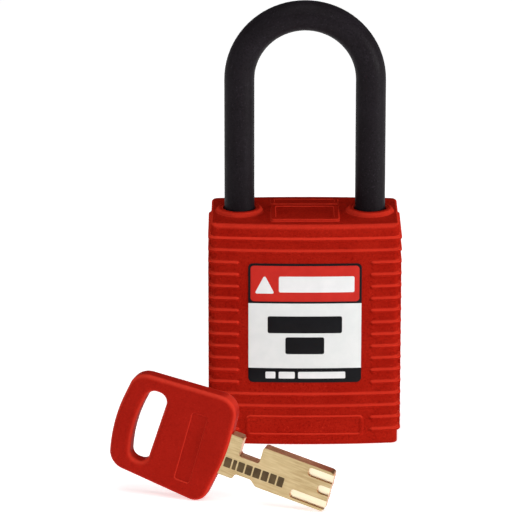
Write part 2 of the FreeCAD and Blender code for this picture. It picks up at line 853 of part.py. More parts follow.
def make_shackle():
    body = new_body("shackle_body")
    leg = size("leg_offset")
    path = new_sketch(body, "shackle_path", "XZ_Plane")
    heel = Vector(-value_of(leg), value_of(size("heel_end")), 0)
    spring_line = value_of(size("arch_spring"))
    left = Vector(-value_of(leg), spring_line, 0)
    right = Vector(value_of(leg), spring_line, 0)
    toe = Vector(value_of(leg), value_of(size("toe_end")), 0)
    path.addGeometry(Part.LineSegment(heel, left), False)
    arch = Part.ArcOfCircle(Part.Circle(Vector(0, spring_line, 0), Vector(0, 0, 1), value_of(leg)), 0, math.pi)
    path.addGeometry(arch, False)
    path.addGeometry(Part.LineSegment(right, toe), False)
    path.addConstraint(Sketcher.Constraint("Coincident", 0, 2, 1, 2))
    path.addConstraint(Sketcher.Constraint("Coincident", 1, 1, 2, 1))
    hold(path, "DistanceX", 0, 1, -leg)
    hold(path, "DistanceY", 0, 1, size("heel_end"))
    hold(path, "DistanceX", 0, 2, -leg)
    hold(path, "DistanceY", 0, 2, size("arch_spring"))
    hold(path, "DistanceX", 2, 1, leg)
    hold(path, "DistanceY", 2, 1, size("arch_spring"))
    hold(path, "DistanceY", 1, 3, size("arch_spring"))
    hold(path, "DistanceX", 2, 2, leg)
    hold(path, "DistanceY", 2, 2, size("toe_end"))
    section = new_sketch(body, "shackle_section", "XY_Plane", size("heel_end"))
    draw_circle(section, -leg, 0, size("shackle_radius"))
    sweep = body.newObject("PartDesign::AdditivePipe", "shackle_sweep")
    sweep.Profile = section
    sweep.Spine = (path, ["Edge1", "Edge2", "Edge3"])
    doc.recompute()
    levels = (size("notch_bottom"), size("notch_top"))
    notches = new_sketch(body, "bolt_notches", "XZ_Plane")
    inner = leg - size("shackle_radius") - 1
    draw_polygon(notches, rectangle((inner, size("notch_floor")), levels))
    draw_polygon(notches, rectangle((-size("notch_floor"), -inner), levels))
    pocket(body, notches, size("shackle_radius") * 4, both_ways=True)
    flat = new_sketch(body, "heel_groove", "YZ_Plane", -leg - size("shackle_radius") * 2)
    outer = size("shackle_radius") + 1
    draw_polygon(flat, rectangle((size("heel_flat"), outer), (size("heel_groove_bottom"), size("heel_groove_top"))))
    pocket(body, flat, size("shackle_radius") * 4, away=True)
    round_body(body, size("leg_end_round"), leg_end_edge)
    node("shackle", body)
    make_spring("shackle_spring", "shackle_spring", -leg, 0, size("core_bottom"), size("heel_end"))


def leg_end_edge(edge):
    """The round edges at the lower ends of the two legs."""
    levels = (value_of(size("heel_end")), value_of(size("toe_end")))
    return any(at_level(level)(edge) for level in levels)


# Key

def key_placement(height):
    """The key stands on its lower edge: yawed about Z and dipped towards its tip."""
    yaw = math.radians(value_of(size("key_yaw")))
    dip = math.radians(value_of(size("key_dip")))
    along = Vector(math.cos(yaw) * math.cos(dip), -math.sin(yaw) * math.cos(dip), -math.sin(dip))
    outwards = Vector(-math.sin(yaw), -math.cos(yaw), 0)
    upwards = outwards.cross(along)
    turn = Rotation(along, upwards, outwards, "ZXY")
    return Placement(Vector(value_of(size("key_x")), value_of(size("key_y")), height), turn)


def blade_outline():
    """Corners of the blade; the neck at its far end is moulded into the bow."""
    near = -size("bow_near") - size("bow_corner")
    far = -size("neck_end")
    neck = size("neck_half_height")
    top = size("shoulder_top")
    bottom = size("shoulder_bottom")
    step = size("step_height")
    half = size("blade_half_height")
    tip = size("blade_tip")
    start = -size("notch_start")
    end = size("notch_end")
    floor = size("notch_height")
    return [
        (far, -neck), (near, -neck), (near, -bottom), (start, -bottom), (0, -step), (size("blade_step_start"), -step),
        (size("blade_step_end"), -half), (tip, -half), (tip, half), (end, half), (end, floor), (start, floor),
        (start, top), (near, top), (near, neck), (far, neck),
    ]


def bow_outline():
    """Corners of the bow: both ends are slightly pointed, and rounded afterwards."""
    near, near_corner = -size("bow_near"), -size("bow_near_corner")
    far, far_corner = -size("bow_far"), -size("bow_far_corner")
    high, low = size("bow_half_near"), size("bow_half_far")
    return [(far_corner, -low), (near_corner, -high), (near, 0), (near_corner, high), (far_corner, low), (far, 0)]


def bow_slot_outline():
    """Corners of the opening for a key ring."""
    near, far, far_corner = -size("bow_slot_near"), -size("bow_slot_far"), -size("bow_slot_far_corner")
    tall = size("bow_slot_half_height")
    return [(far_corner, -tall), (near, -tall), (near, tall), (far_corner, tall), (far, 0)]


def make_key():
    thick = size("blade_half_thickness")
    blade = new_body("blade_body")
    outline = new_sketch(blade, "blade_outline", "XY_Plane")
    draw_polygon(outline, blade_outline())
    pad(blade, outline, thick * 2, both_ways=True)
    round_body(blade, size("blade_corner"), blade_corner_edge)
    round_body(blade, size("blade_tip_corner"), blade_tip_edge)
    tip = size("blade_tip") + 1
    for side, face in ((1, "outer"), (-1, "inner")):
        slots = new_sketch(blade, "key_slots_" + face, "XY_Plane", thick * side)
        for across, start, width in KEY_SLOTS:
            middle = across * side
            draw_polygon(slots, rectangle((start, tip), (middle - width / 2, middle + width / 2)))
        pocket(blade, slots, size("key_slot_depth"), away=side < 0)
    round_body(blade, size("key_slot_end"), slot_end_edge)
    bow = new_body("bow_body")
    blank = new_sketch(bow, "bow_outline", "XY_Plane")
    draw_polygon(blank, bow_outline())
    pad(bow, blank, size("bow_half_thickness") * 2, both_ways=True)
    round_body(bow, size("bow_corner"), bow_corner_edge)
    round_body(bow, size("bow_side_round"), bow_side_edge)
    opening = new_sketch(bow, "bow_opening", "XY_Plane")
    draw_polygon(opening, bow_slot_outline())
    pocket(bow, opening, size("bow_half_thickness") * 4, both_ways=True)
    round_body(bow, size("bow_slot_corner"), slot_corner_edge)
    round_body(bow, size("bow_rim"), bow_rim_edge)
    doc.recompute()
    moulded = cut("key_bow", bow, blade)
    rise = -lowest_point(key_placement(0), [blade, bow])
    for piece in (blade, bow):
        piece.Placement = key_placement(rise)
    node("key_blade", blade)
    node("key_bow", moulded)


def corner_of(edge):
    """Where an upright edge stands, as (along the blade, across it)."""
    point = edge.Vertexes[0].Point
    return point.x, point.y


def blade_corner_edge(edge):
    """Corners of the shoulder and the notch; the neck stays square."""
    start, tip = -value_of(size("notch_start")), value_of(size("blade_tip"))
    return upright(edge) and start - 0.01 < corner_of(edge)[0] < tip - 0.01


def blade_tip_edge(edge):
    return upright(edge) and corner_of(edge)[0] > value_of(size("blade_tip")) - 0.01


def slot_end_edge(edge):
    """The corners where the milled slots end."""
    starts = [start for _, start, _ in KEY_SLOTS]
    return upright(edge) and any(abs(corner_of(edge)[0] - start) < 0.01 for start in starts)


def bow_corner_edge(edge):
    return upright(edge) and abs(corner_of(edge)[1]) > value_of(size("bow_half_far")) - 0.01


def bow_side_edge(edge):
    return upright(edge) and abs(corner_of(edge)[1]) < 0.01


def slot_corner_edge(edge):
    """The corners of the key ring opening."""
    near, far = value_of(size("bow_slot_near")), value_of(size("bow_slot_far"))
    return upright(edge) and near - 0.01 < -corner_of(edge)[0] < far + 0.01


def bow_rim_edge(edge):
    """The outline edges of the bow's two faces."""
    level = value_of(size("bow_half_thickness"))
    return at_level(level)(edge) or at_level(-level)(edge)


def lowest_point(placement, bodies):
    """The lowest Z that any of the bodies would reach at a placement."""
    lowest = []
    for body in bodies:
        shape = body.Shape.copy()
        shape.Placement = placement
        lowest.append(shape.optimalBoundingBox(False, False).ZMin)
    return min(lowest)


def check_and_write():
    doc.recompute()
    for obj in doc.Objects:
        if "Invalid" in obj.State or "Error" in obj.State:
            raise RuntimeError("%s (%s) failed" % (obj.Name, obj.Label))
    for obj in parts:
        if obj.Shape.isNull() or not obj.Shape.isValid() or obj.Shape.Volume <= 0:
            raise RuntimeError("%s has no valid solid" % obj.Label)
    os.makedirs("parts", exist_ok=True)
    for obj in parts:
        obj.Shape.exportStep("parts/%s.step" % obj.Label)
        bounds = obj.Shape.optimalBoundingBox(False, False)
        print("%-26s solids %d  volume %9.2f  z %.2f to %.2f" % (
            obj.Label, len(obj.Shape.Solids), obj.Shape.Volume, bounds.ZMin, bounds.ZMax))


fill_sheet()
make_shell()
make_label("front_label", "front", -1)
make_label("back_label", "back", 1)
make_lower_core()
make_upper_core()
make_bottom_cap()
make_cap_screws()
make_housing()
make_plug()
make_plug_clip()
make_sliders()
make_side_bars()
make_tailpiece()
make_cam_disc()
make_bolts()
make_shackle()
make_key()
check_and_write()
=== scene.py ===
import json
import math

import bmesh
import bpy
from mathutils import Matrix, Vector
from mathutils.geometry import area_tri, delaunay_2d_cdt


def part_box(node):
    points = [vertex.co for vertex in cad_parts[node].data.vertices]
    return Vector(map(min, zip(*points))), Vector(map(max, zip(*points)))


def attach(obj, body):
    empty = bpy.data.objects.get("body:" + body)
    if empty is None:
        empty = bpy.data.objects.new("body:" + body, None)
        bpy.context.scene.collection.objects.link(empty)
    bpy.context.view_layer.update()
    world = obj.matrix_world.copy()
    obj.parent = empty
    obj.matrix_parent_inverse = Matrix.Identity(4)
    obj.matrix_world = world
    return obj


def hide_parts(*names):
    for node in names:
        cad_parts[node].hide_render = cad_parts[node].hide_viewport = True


# Looks of the keyed safety padlock. Metres, +Z up; the front label faces -Y, and the origin is
# under the body's middle.

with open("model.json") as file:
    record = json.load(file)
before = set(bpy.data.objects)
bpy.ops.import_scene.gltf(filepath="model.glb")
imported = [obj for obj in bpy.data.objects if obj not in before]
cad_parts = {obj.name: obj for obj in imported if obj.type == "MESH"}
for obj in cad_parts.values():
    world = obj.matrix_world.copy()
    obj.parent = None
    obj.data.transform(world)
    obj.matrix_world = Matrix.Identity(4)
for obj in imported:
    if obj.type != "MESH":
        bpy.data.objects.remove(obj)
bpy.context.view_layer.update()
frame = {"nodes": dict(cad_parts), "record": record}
nodes = frame["nodes"]

MM = 0.001

# Sizes in millimetres that the frame's boxes don't give directly
HALF_WIDTH = 19.75
HALF_DEPTH = 10.5
FRONT_BOW = 1.2
BACK_BOW = 0.9
CORNER = 1.4
BODY_HEIGHT = 48.9
TOP_ROUND = 0.6
FRONT_TOP_ROUND = 1.25
CAVITY_HALF_WIDTH = 17.9
CAVITY_HALF_DEPTH = 8.4
CAVITY_TOP = 46.6
RIB_COUNT = 17
RIB_LOWEST = 3.2
RIB_PITCH = 2.65
RIB_FULL = (3, 2, 15, 16)
RIB_END = 14.35
RIB_SIDE = 0.65
RIB_FACE = 0.45
RIB_CREST = 0.14
RIB_FOOT = 0.6
LEVEL_STEP = 0.075
LEVEL_GAP = 0.045
BAND_HALF_DEPTH = 6.5
BAND_BOTTOM = 3.0
BAND_TOP = 47.3
LEG_OFFSET = 13.8
LEG_HOLE = 3.4
PLAQUE = (12.4, 1.9, 6.5)
TOP_PAD = (-7.2, -8.0, 7.2, 2.5)
TOP_BAR = (-7.2, 4.2, 7.2, 8.3)
CORNER_STEPS = 8
CIRCLE_STEPS = 72
SLIVER = 0.00002  # square millimetres: flat triangles between points of one straight edge

# Section of a leg collar, from its foot over the crown into the leg's hole: (radius, height)
COLLAR = [(5.12, 0), (5.07, 0.04), (5.02, 0.13), (4.95, 0.28), (4.85, 0.43), (4.71, 0.58),
          (4.54, 0.71), (4.34, 0.81), (4.12, 0.87), (3.9, 0.89), (3.7, 0.85), (3.55, 0.74),
          (3.45, 0.56), (LEG_HOLE, 0.3), (LEG_HOLE, CAVITY_TOP - BODY_HEIGHT)]


# Mesh building

class Piece:
    """Points and faces of one closed surface, in millimetres until it is made."""

    def __init__(self):
        self.points = []
        self.faces = []

    def loop(self, points):
        first = len(self.points)
        self.points.extend(Vector(point) for point in points)
        return list(range(first, first + len(points)))

    def bridge(self, lower, upper):
        count = len(lower)
        for index in range(count):
            following = (index + 1) % count
            self.faces.append((lower[index], lower[following], upper[following], upper[index]))

    def chain(self, loops):
        for lower, upper in zip(loops, loops[1:]):
            self.bridge(lower, upper)

    def fill(self, outer, holes=(), inner_points=(), flat=lambda point: (point.x, point.y)):
        """Triangles between an outer loop and the loops inside it."""
        indices = list(outer)
        edges = []
        for ring in (outer, *holes):
            start = 0 if ring is outer else len(indices)
            if ring is not outer:
                indices.extend(ring)
            count = len(ring)
            edges.extend((start + index, start + (index + 1) % count) for index in range(count))
        indices.extend(inner_points)
        plane = [Vector(flat(self.points[index])) for index in indices]
        made = delaunay_2d_cdt(plane, edges, [], 0, 1e-7)
        outlines = [[Vector(flat(self.points[index])) for index in ring]
                    for ring in (outer, *holes)]
        for face in made[2]:
            if area_tri(*(made[0][corner] for corner in face)) < SLIVER:
                continue
            middle = sum((made[0][corner] for corner in face), Vector((0, 0))) / len(face)
            in_hole = any(inside(middle, ring) for ring in outlines[1:])
            if in_hole or not inside(middle, outlines[0]):
                continue
            self.faces.append(tuple(indices[made[3][corner][0]] for corner in face))

    def make(self, name, material, body, slot, smooth_angle=40.0):
        mesh = bpy.data.meshes.new(name)
        mesh.from_pydata([point * MM for point in self.points], [], self.faces)
        work = bmesh.new()
        work.from_mesh(mesh)
        bmesh.ops.recalc_face_normals(work, faces=work.faces)
        work.to_mesh(mesh)
        work.free()
        mesh.shade_smooth()
        mesh.set_sharp_from_angle(angle=math.radians(smooth_angle))
        mesh.materials.append(material)
        piece = bpy.data.objects.new(name, mesh)
        bpy.context.scene.collection.objects.link(piece)
        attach(piece, body)
        return piece


def inside(point, outline):
    """True if a point of the plane lies inside a closed outline."""
    result = False
    previous = outline[-1]
    for corner in outline:
        if (corner.y > point.y) != (previous.y > point.y):
            run, rise = previous.x - corner.x, previous.y - corner.y
            if point.x < run * (point.y - corner.y) / rise + corner.x:
                result = not result
        previous = corner
    return result


def smoothstep(low, high, value):
    share = max(0.0, min(1.0, (value - low) / (high - low)))
    return share * share * (3 - 2 * share)


def box_corners(left, low, right, high):
    return [(left, low), (right, low), (right, high), (left, high)]


def rounded_outline(corners, radii, steps=8, divide=None):
    """Closed anticlockwise outline, an arc at each corner: a list of (point, outward normal)."""
    result = []
    count = len(corners)
    arcs = []
    for index in range(count):
        here = Vector(corners[index])
        before = (Vector(corners[index - 1]) - here).normalized()
        after = (Vector(corners[(index + 1) % count]) - here).normalized()
        radius = radii[index] if isinstance(radii, (list, tuple)) else radii
        half = before.angle(after) / 2
        centre = here + (before + after).normalized() * (radius / math.sin(half))
        start = Vector((-before.y, before.x)) * -1
        end = Vector((-after.y, after.x))
        start = start if start.dot(here - centre) > 0 else -start
        end = end if end.dot(here - centre) > 0 else -end
        turn = start.angle(end)
        sign = 1 if start.x * end.y - start.y * end.x > 0 else -1
        arcs.append([(centre, radius, start, sign * turn * step / steps)
                     for step in range(steps + 1)])
    for index, arc in enumerate(arcs):
        for centre, radius, start, angle in arc:
            normal = Vector((start.x * math.cos(angle) - start.y * math.sin(angle),
                             start.x * math.sin(angle) + start.y * math.cos(angle)))
            result.append((centre + normal * radius, normal))
        if divide:
            last, normal = result[-1]
            centre, radius, start, _ = arcs[(index + 1) % count][0]
            target = centre + start * radius
            pieces = int((target - last).length / divide)
            result.extend((last.lerp(target, step / (pieces + 1)), normal)
                          for step in range(1, pieces + 1))
    return result


def circle_outline(x, y, steps=CIRCLE_STEPS):
    """Circle of radius zero: every point at the centre, with its own outward normal."""
    result = []
    for step in range(steps):
        angle = 2 * math.pi * step / steps
        result.append((Vector((x, y)), Vector((math.cos(angle), math.sin(angle)))))
    return result


def profile_loops(piece, outline, profile):
    """One loop per (outward offset, height) pair."""
    return [piece.loop([(*(point + normal * offset), height) for point, normal in outline])
            for offset, height in profile]


# The body's outline and relief

def bow_radius(bow):
    return (HALF_WIDTH ** 2 + bow ** 2) / (2 * bow)


def bowed_outline(half_width, half_depth, bows, corner, face_shares, side_lines):
    """Anticlockwise outline from the front's left end: (point, normal) pairs."""
    quarter = []
    ends = []
    for bow in bows:
        if bow:
            radius = bow_radius(bow)
            reach = (half_width - corner) / (1 - corner / radius)
            tilt = math.asin(reach / radius)
        else:
            radius, reach, tilt = None, half_width - corner, 0.0
        ends.append((radius, reach, tilt))
    for side, (radius, reach, tilt) in zip((-1, 1), ends):
        face = []
        for share in face_shares:
            x = share * reach * -side
            if radius:
                drop = radius - math.sqrt(radius ** 2 - x ** 2)
                normal = Vector((x / radius, side * math.sqrt(1 - (x / radius) ** 2)))
            else:
                drop = 0.0
                normal = Vector((0, side))
            face.append((Vector((x, side * (half_depth - drop))), normal))
        last, normal = face[-1]
        centre = last - normal * corner
        start = math.atan2(normal.y, normal.x)
        target = 0.0 if side < 0 else math.pi
        arc = []
        for step in range(1, CORNER_STEPS):
            angle = start + (target - start) * step / CORNER_STEPS
            arc.append((centre + Vector((math.cos(angle), math.sin(angle))) * corner,
                        Vector((math.cos(angle), math.sin(angle)))))
        quarter.append((face, arc, centre))
    result = []
    front_centre, back_centre = quarter[0][2], quarter[1][2]
    for side, (face, arc, centre) in zip((-1, 1), quarter):
        result.extend(face)
        result.extend(arc)
        x = half_width * -side
        along = [front_centre.y, *side_lines, back_centre.y]
        for y in along if side < 0 else reversed(along):
            result.append((Vector((x, y)), Vector((-side, 0))))
        mirrored = []
        first_point, first_normal = (quarter[1][0][0] if side < 0 else quarter[0][0][0])
        other = first_point - first_normal * corner
        begin = 0.0 if side < 0 else math.pi
        stop = math.atan2(first_normal.y, first_normal.x)
        if side > 0:
            stop += 2 * math.pi
        for step in range(1, CORNER_STEPS):
            angle = begin + (stop - begin) * step / CORNER_STEPS
            normal = Vector((math.cos(angle), math.sin(angle)))
            mirrored.append((other + normal * corner, normal))
        result.extend(mirrored)
    return result


def box_distance(x, z, centre, half, radius):
    """Signed distance to a rounded rectangle, negative inside."""
    dx = abs(x - centre[0]) - half[0] + radius
    dz = abs(z - centre[1]) - half[1] + radius
    return math.hypot(max(dx, 0), max(dz, 0)) + min(max(dx, dz), 0) - radius


def rib_relief(point, normal, z):
    """Height of the ribs over the plain body."""
    number = round((z - RIB_LOWEST) / RIB_PITCH)
    if not 0 <= number < RIB_COUNT:
        return 0.0
    across = z - RIB_LOWEST - number * RIB_PITCH
    beyond = 0.0 if number in RIB_FULL else max(0.0, RIB_END - abs(point.x))
    ridge = 1 - smoothstep(RIB_CREST, RIB_FOOT, math.hypot(across, beyond))
    side = normal.x ** 2
    return ridge * (RIB_FACE + (RIB_SIDE - RIB_FACE) * side)


def band_relief(point, normal, z):
    """Raised band along each narrow side, thinner towards its top."""
    if abs(normal.x) < 0.95:
        return 0.0
    middle = (BAND_BOTTOM + BAND_TOP) / 2
    half = (BAND_HALF_DEPTH, (BAND_TOP - BAND_BOTTOM) / 2)
    depth = -box_distance(point.y, z, (0, middle), half, 1.0)
    taper = 1 - 0.75 * smoothstep(BAND_TOP - 9.0, BAND_TOP - 0.3, z)
    return RIB_SIDE * smoothstep(-0.1, 0.3, depth) * taper


def plaque_relief(point, normal, z):
    """Low rounded plaque with a sunk field, at the foot of the front."""
    if normal.y > -0.9:
        return 0.0
    half_width, low, high = PLAQUE
    depth = -box_distance(point.x, z, (0, (low + high) / 2), (half_width, (high - low) / 2), 0.9)
    return 0.3 * smoothstep(-0.1, 0.18, depth) - 0.2 * smoothstep(0.5, 0.75, depth)


def relief(point, normal, z):
    """How far the wall stands out from the plain outline."""
    return max(part(point, normal, z) for part in (rib_relief, band_relief, plaque_relief))


def clustered(edges, offsets, spread, step):
    """Sorted places along a line: even steps plus closer ones round each edge."""
    low, high = spread
    count = round((high - low) / step)
    places = {round(low + (high - low) * index / count, 4) for index in range(count + 1)}
    for edge in edges:
        near = [place for place in places
                if abs(place - edge) < max(offsets) + 0.1 and place not in spread]
        places.difference_update(near)
        for offset in offsets:
            for place in (edge - offset, edge + offset):
                if low < place < high:
                    places.add(round(place, 4))
    return sorted(places)


def level_list():
    """Heights of the wall's loops, closer together across each rib."""
    levels = {0.25}
    for number in range(RIB_COUNT):
        centre = RIB_LOWEST + RIB_PITCH * number
        levels.update(centre + step * LEVEL_STEP for step in range(-8, 9))
        levels.add(centre + RIB_PITCH / 2)
    _, low, high = PLAQUE
    for edge in (low, high):
        levels.update(edge + offset for offset in (-0.15, -0.05, 0.1, 0.2, 0.5, 0.7, 0.85))
    levels.add(BAND_BOTTOM - 0.1)
    levels.update(BAND_TOP + offset for offset in (-1.0, -0.6, -0.3, -0.1, 0.0, 0.1))
    chosen = [level for level in sorted(levels) if 0.2 < level < BODY_HEIGHT - FRONT_TOP_ROUND]
    kept = [chosen[0]]
    for level in chosen[1:]:
        if level - kept[-1] > LEVEL_GAP:
            kept.append(level)
    return kept


def top_round(normal):
    """Radius of the body's top edge: softer along the front than elsewhere."""
    return TOP_ROUND + (FRONT_TOP_ROUND - TOP_ROUND) * max(0.0, -normal.y) ** 4


def make_shell(material):
    piece = Piece()
    reach = (HALF_WIDTH - CORNER) / (1 - CORNER / bow_radius(FRONT_BOW))
    face_edges = (-RIB_END, RIB_END, -PLAQUE[0], PLAQUE[0])
    face_lines = clustered(face_edges, (0.0, 0.12, 0.26, 0.42, 0.6, 0.85), (-reach, reach), 0.9)
    face_shares = [line / reach for line in face_lines]
    band_edges = (-BAND_HALF_DEPTH, BAND_HALF_DEPTH)
    side_lines = clustered(band_edges, (0.0, 0.1, 0.2, 0.32, 0.5), (-7.7, 7.7), 1.1)
    outline = bowed_outline(HALF_WIDTH, HALF_DEPTH, (FRONT_BOW, BACK_BOW), CORNER, face_shares,
                            side_lines)
    cavity = bowed_outline(CAVITY_HALF_WIDTH, CAVITY_HALF_DEPTH, (0, 0), 0.5, face_shares,
                           side_lines)
    loops = [piece.loop([(point.x, point.y, 0) for point, _ in cavity])]
    loops += profile_loops(piece, outline, [(-0.4, 0), (-0.28, 0), (-0.12, 0.06), (-0.03, 0.15)])
    for z in level_list():
        loops.append(piece.loop([(*(point + normal * relief(point, normal, z)), z)
                                 for point, normal in outline]))
    for step in range(CORNER_STEPS + 1):
        angle = math.pi / 2 * step / CORNER_STEPS
        inwards, down = 1 - math.cos(angle), 1 - math.sin(angle)
        loops.append(piece.loop([(*(point - normal * inwards * top_round(normal)),
                                  BODY_HEIGHT - down * top_round(normal))
                                 for point, normal in outline]))
    loops.append(piece.loop([(*(point - normal * (top_round(normal) + 0.05)), BODY_HEIGHT)
                             for point, normal in outline]))
    piece.chain(loops)
    collar = [(radius, BODY_HEIGHT + height) for radius, height in COLLAR]
    rims, bores = [], []
    for x in (-LEG_OFFSET, LEG_OFFSET):
        rings = profile_loops(piece, circle_outline(x, 0), collar)
        piece.chain(rings)
        rims.append(rings[0])
        bores.append(rings[-1])
    rims.append(raised_pad(piece, TOP_PAD, 0.6, inner=0.95))
    rims.append(raised_pad(piece, TOP_BAR, 0.3, inner=0.7))
    piece.fill(loops[-1], rims)
    ceiling = piece.loop([(point.x, point.y, CAVITY_TOP) for point, _ in cavity])
    piece.bridge(loops[0], ceiling)
    piece.fill(ceiling, bores)
    shell = piece.make("shell_skin", material, "lock_body", "red_nylon", 60)
    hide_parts("body_shell")


def raised_pad(piece, box, height, inner):
    """A low pad with softly rounded edges and a sunk panel on top; gives its foot loop."""
    left, near, right, far = box
    outline = rounded_outline(box_corners(*box), 0.7, divide=1.0)
    top = BODY_HEIGHT + height
    edge = [(0.22, BODY_HEIGHT), (0.1, BODY_HEIGHT + 0.02), (0.02, BODY_HEIGHT + 0.1),
            (0.0, top - 0.16), (-0.05, top - 0.06), (-0.14, top - 0.01), (-0.24, top),
            (-0.36, top)]
    rings = profile_loops(piece, outline, edge)
    piece.chain(rings)
    corners = box_corners(left + inner, near + inner, right - inner, far - inner)
    window = rounded_outline(corners, 0.6, divide=1.0)
    sunk = top - 0.18
    panel = [(0.1, top), (0.0, top), (-0.08, top - 0.04), (-0.14, sunk + 0.04), (-0.22, sunk),
             (-0.34, sunk)]
    hollow = profile_loops(piece, window, panel)
    piece.chain(hollow)
    piece.fill(rings[-1], [hollow[0]])
    piece.fill(hollow[-1])
    return rings[0]


# Labels: heights of the header and footer edges over the bottom, and each layer's top over the face

HEADER = 17.55
FOOTER = 3.15
SHEET_TOP = 0.1
PRINT_TOP = 0.12
FIELD_TOP = 0.14
SYMBOL_TOP = 0.16
OVERHANG = 0.05


def face_depth(x, side):
    """Distance of the front (-1) or back (+1) face from the middle plane at x."""
    radius = bow_radius(FRONT_BOW if side < 0 else BACK_BOW)
    return HALF_DEPTH - radius + math.sqrt(radius ** 2 - x ** 2)


def bowed_plate(outline, side, inner, outer, piece=None):
    """A thin plate that follows the face's bow, from an outline in x and z."""
    piece = piece or Piece()
    xs = [point.x for point, _ in outline]
    zs = [point.y for point, _ in outline]
    rings = []
    for lift, shrink in ((inner, 0.0), (outer - 0.002, 0.0), (outer, -0.01)):
        rings.append(piece.loop([(point.x + normal.x * shrink,
                                  side * (face_depth(point.x, side) + lift),
                                  point.y + normal.y * shrink) for point, normal in outline]))
    piece.chain(rings)
    border = [Vector((point.x, point.y)) for point, _ in outline]
    for ring, lift in ((rings[0], inner), (rings[-1], outer)):
        extra = []
        columns = max(1, int((max(xs) - min(xs)) / 0.8))
        rows = max(1, int((max(zs) - min(zs)) / 1.5))
        for column in range(1, columns):
            x = min(xs) + (max(xs) - min(xs)) * column / columns
            for row in range(1, rows):
                z = min(zs) + (max(zs) - min(zs)) * row / rows
                if inside(Vector((x, z)), border):
                    extra.append((x, side * (face_depth(x, side) + lift), z))
        piece.fill(ring, (), piece.loop(extra), flat=lambda point: (point.x, point.z))
    return piece


def bar_outline(x_low, x_high, z_low, z_high, radius):
    return rounded_outline(box_corners(x_low, z_low, x_high, z_high), radius, steps=4, divide=1.2)


def make_front_label(vinyl, black, red, white):
    low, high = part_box("front_label")
    left, right, bottom, top = low.x / MM, high.x / MM, low.z / MM, high.z / MM
    header = bottom + HEADER
    footer = bottom + FOOTER
    base = bowed_plate(bar_outline(left, right, bottom, top, 1.0), -1, 0.0, SHEET_TOP)
    sheet = base.make("label_sheet", vinyl, "lock_body", "label_print", 30)
    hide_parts("front_label")
    dark = Piece()
    corners = box_corners(left - OVERHANG, header, right + OVERHANG, top + OVERHANG)
    outline = rounded_outline(corners, [0.05, 0.05, 1.0, 1.0], 4, 1.2)
    bowed_plate(outline, -1, SHEET_TOP, PRINT_TOP, dark)
    corners = box_corners(left - OVERHANG, bottom - OVERHANG, right + OVERHANG, footer)
    outline = rounded_outline(corners, [1.0, 1.0, 0.05, 0.05], 4, 1.2)
    bowed_plate(outline, -1, SHEET_TOP, PRINT_TOP, dark)
    for half, base_level, height in ((7.85, bottom + 10.95, 3.75), (4.1, bottom + 6.3, 3.75)):
        outline = bar_outline(-half, half, base_level, base_level + height, 0.4)
        bowed_plate(outline, -1, SHEET_TOP, PRINT_TOP, dark)
    dark.make("label_black_print", black, "lock_body", "label_print", 30)
    outline = bar_outline(left + 0.45, right - 0.45, header + 0.45, top - 0.45, 0.7)
    field = bowed_plate(outline, -1, PRINT_TOP, FIELD_TOP)
    field.make("label_red_print", red, "lock_body", "label_print", 30)
    pale = Piece()
    middle = (header + top) / 2
    triangle = [(left + 1.3, middle - 2.2), (left + 5.5, middle - 2.2), (left + 3.4, middle + 1.9)]
    outline = rounded_outline(triangle, 0.3, 4, 1.2)
    bowed_plate(outline, -1, FIELD_TOP, SYMBOL_TOP, pale)
    outline = bar_outline(left + 6.4, right - 1.5, middle - 1.9, middle + 1.6, 0.35)
    bowed_plate(outline, -1, FIELD_TOP, SYMBOL_TOP, pale)
    for start, end in ((-8.3, -6.2), (-5.5, -2.1), (-1.4, 8.6)):
        outline = bar_outline(start, end, bottom + 0.85, bottom + 2.35, 0.25)
        bowed_plate(outline, -1, PRINT_TOP, FIELD_TOP, pale)
    pale.make("label_white_print", white, "lock_body", "label_print", 30)


def make_back_label(vinyl, black):
    low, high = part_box("back_label")
    left, right, bottom, top = low.x / MM, high.x / MM, low.z / MM, high.z / MM
    base = bowed_plate(bar_outline(left, right, bottom, top, 1.0), 1, 0.0, SHEET_TOP)
    sheet = base.make("back_label_sheet", vinyl, "lock_body", "label_print", 30)
    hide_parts("back_label")
    lines = Piece()
    corners = box_corners(left - OVERHANG, top - 5.2, right + OVERHANG, top + OVERHANG)
    outline = rounded_outline(corners, [0.05, 0.05, 1.0, 1.0], 4, 1.2)
    bowed_plate(outline, 1, SHEET_TOP, PRINT_TOP, lines)
    for number in range(4):
        level = bottom + 3.2 + number * 4.6
        outline = bar_outline(left + 2, right - 2, level, level + 0.25, 0.1)
        bowed_plate(outline, 1, SHEET_TOP, PRINT_TOP, lines)
    lines.make("back_label_print", black, "lock_body", "label_print", 30)


# Key

KEY_YAW = math.radians(16.0)
KEY_DIP = math.radians(15.4)
KEY_PLACE = Vector((-13.47, -44.98, 0.0))
BLADE_TIP = 19.8
BLADE_HALF_HEIGHT = 4.45
BLADE_HALF_THICKNESS = 1.2
BLADE_CORNER = 1.0
BOW_HALF_THICKNESS = 1.95
BOW_CORNERS = [(-26.05, -10.75), (-4.9, -12.35), (-2.6, 0.5), (-3.15, 12.35), (-25.55, 10.75),
               (-27.65, -1.0)]
BOW_RADII = [3.9, 3.2, 40.0, 3.9, 3.9, 35.0]
BOW_RIM = 1.05
BOW_PANEL = (-11.9, -8.8, -8.4, 6.8)
SLOT_RIM = 1.1
RING_SLOT_CORNERS = [(-22.05, -7.85), (-18.35, -7.85), (-17.55, 7.95), (-21.65, 7.95),
                     (-23.45, -0.5)]
RING_SLOT_RADII = [1.8, 1.8, 1.95, 1.95, 28.0]
MARK_WIDTHS = (1.5, 0.8, 1.4, 1.4, 1.5, 1.4, 1.4, 1.35)
MARK_GAP = 0.32


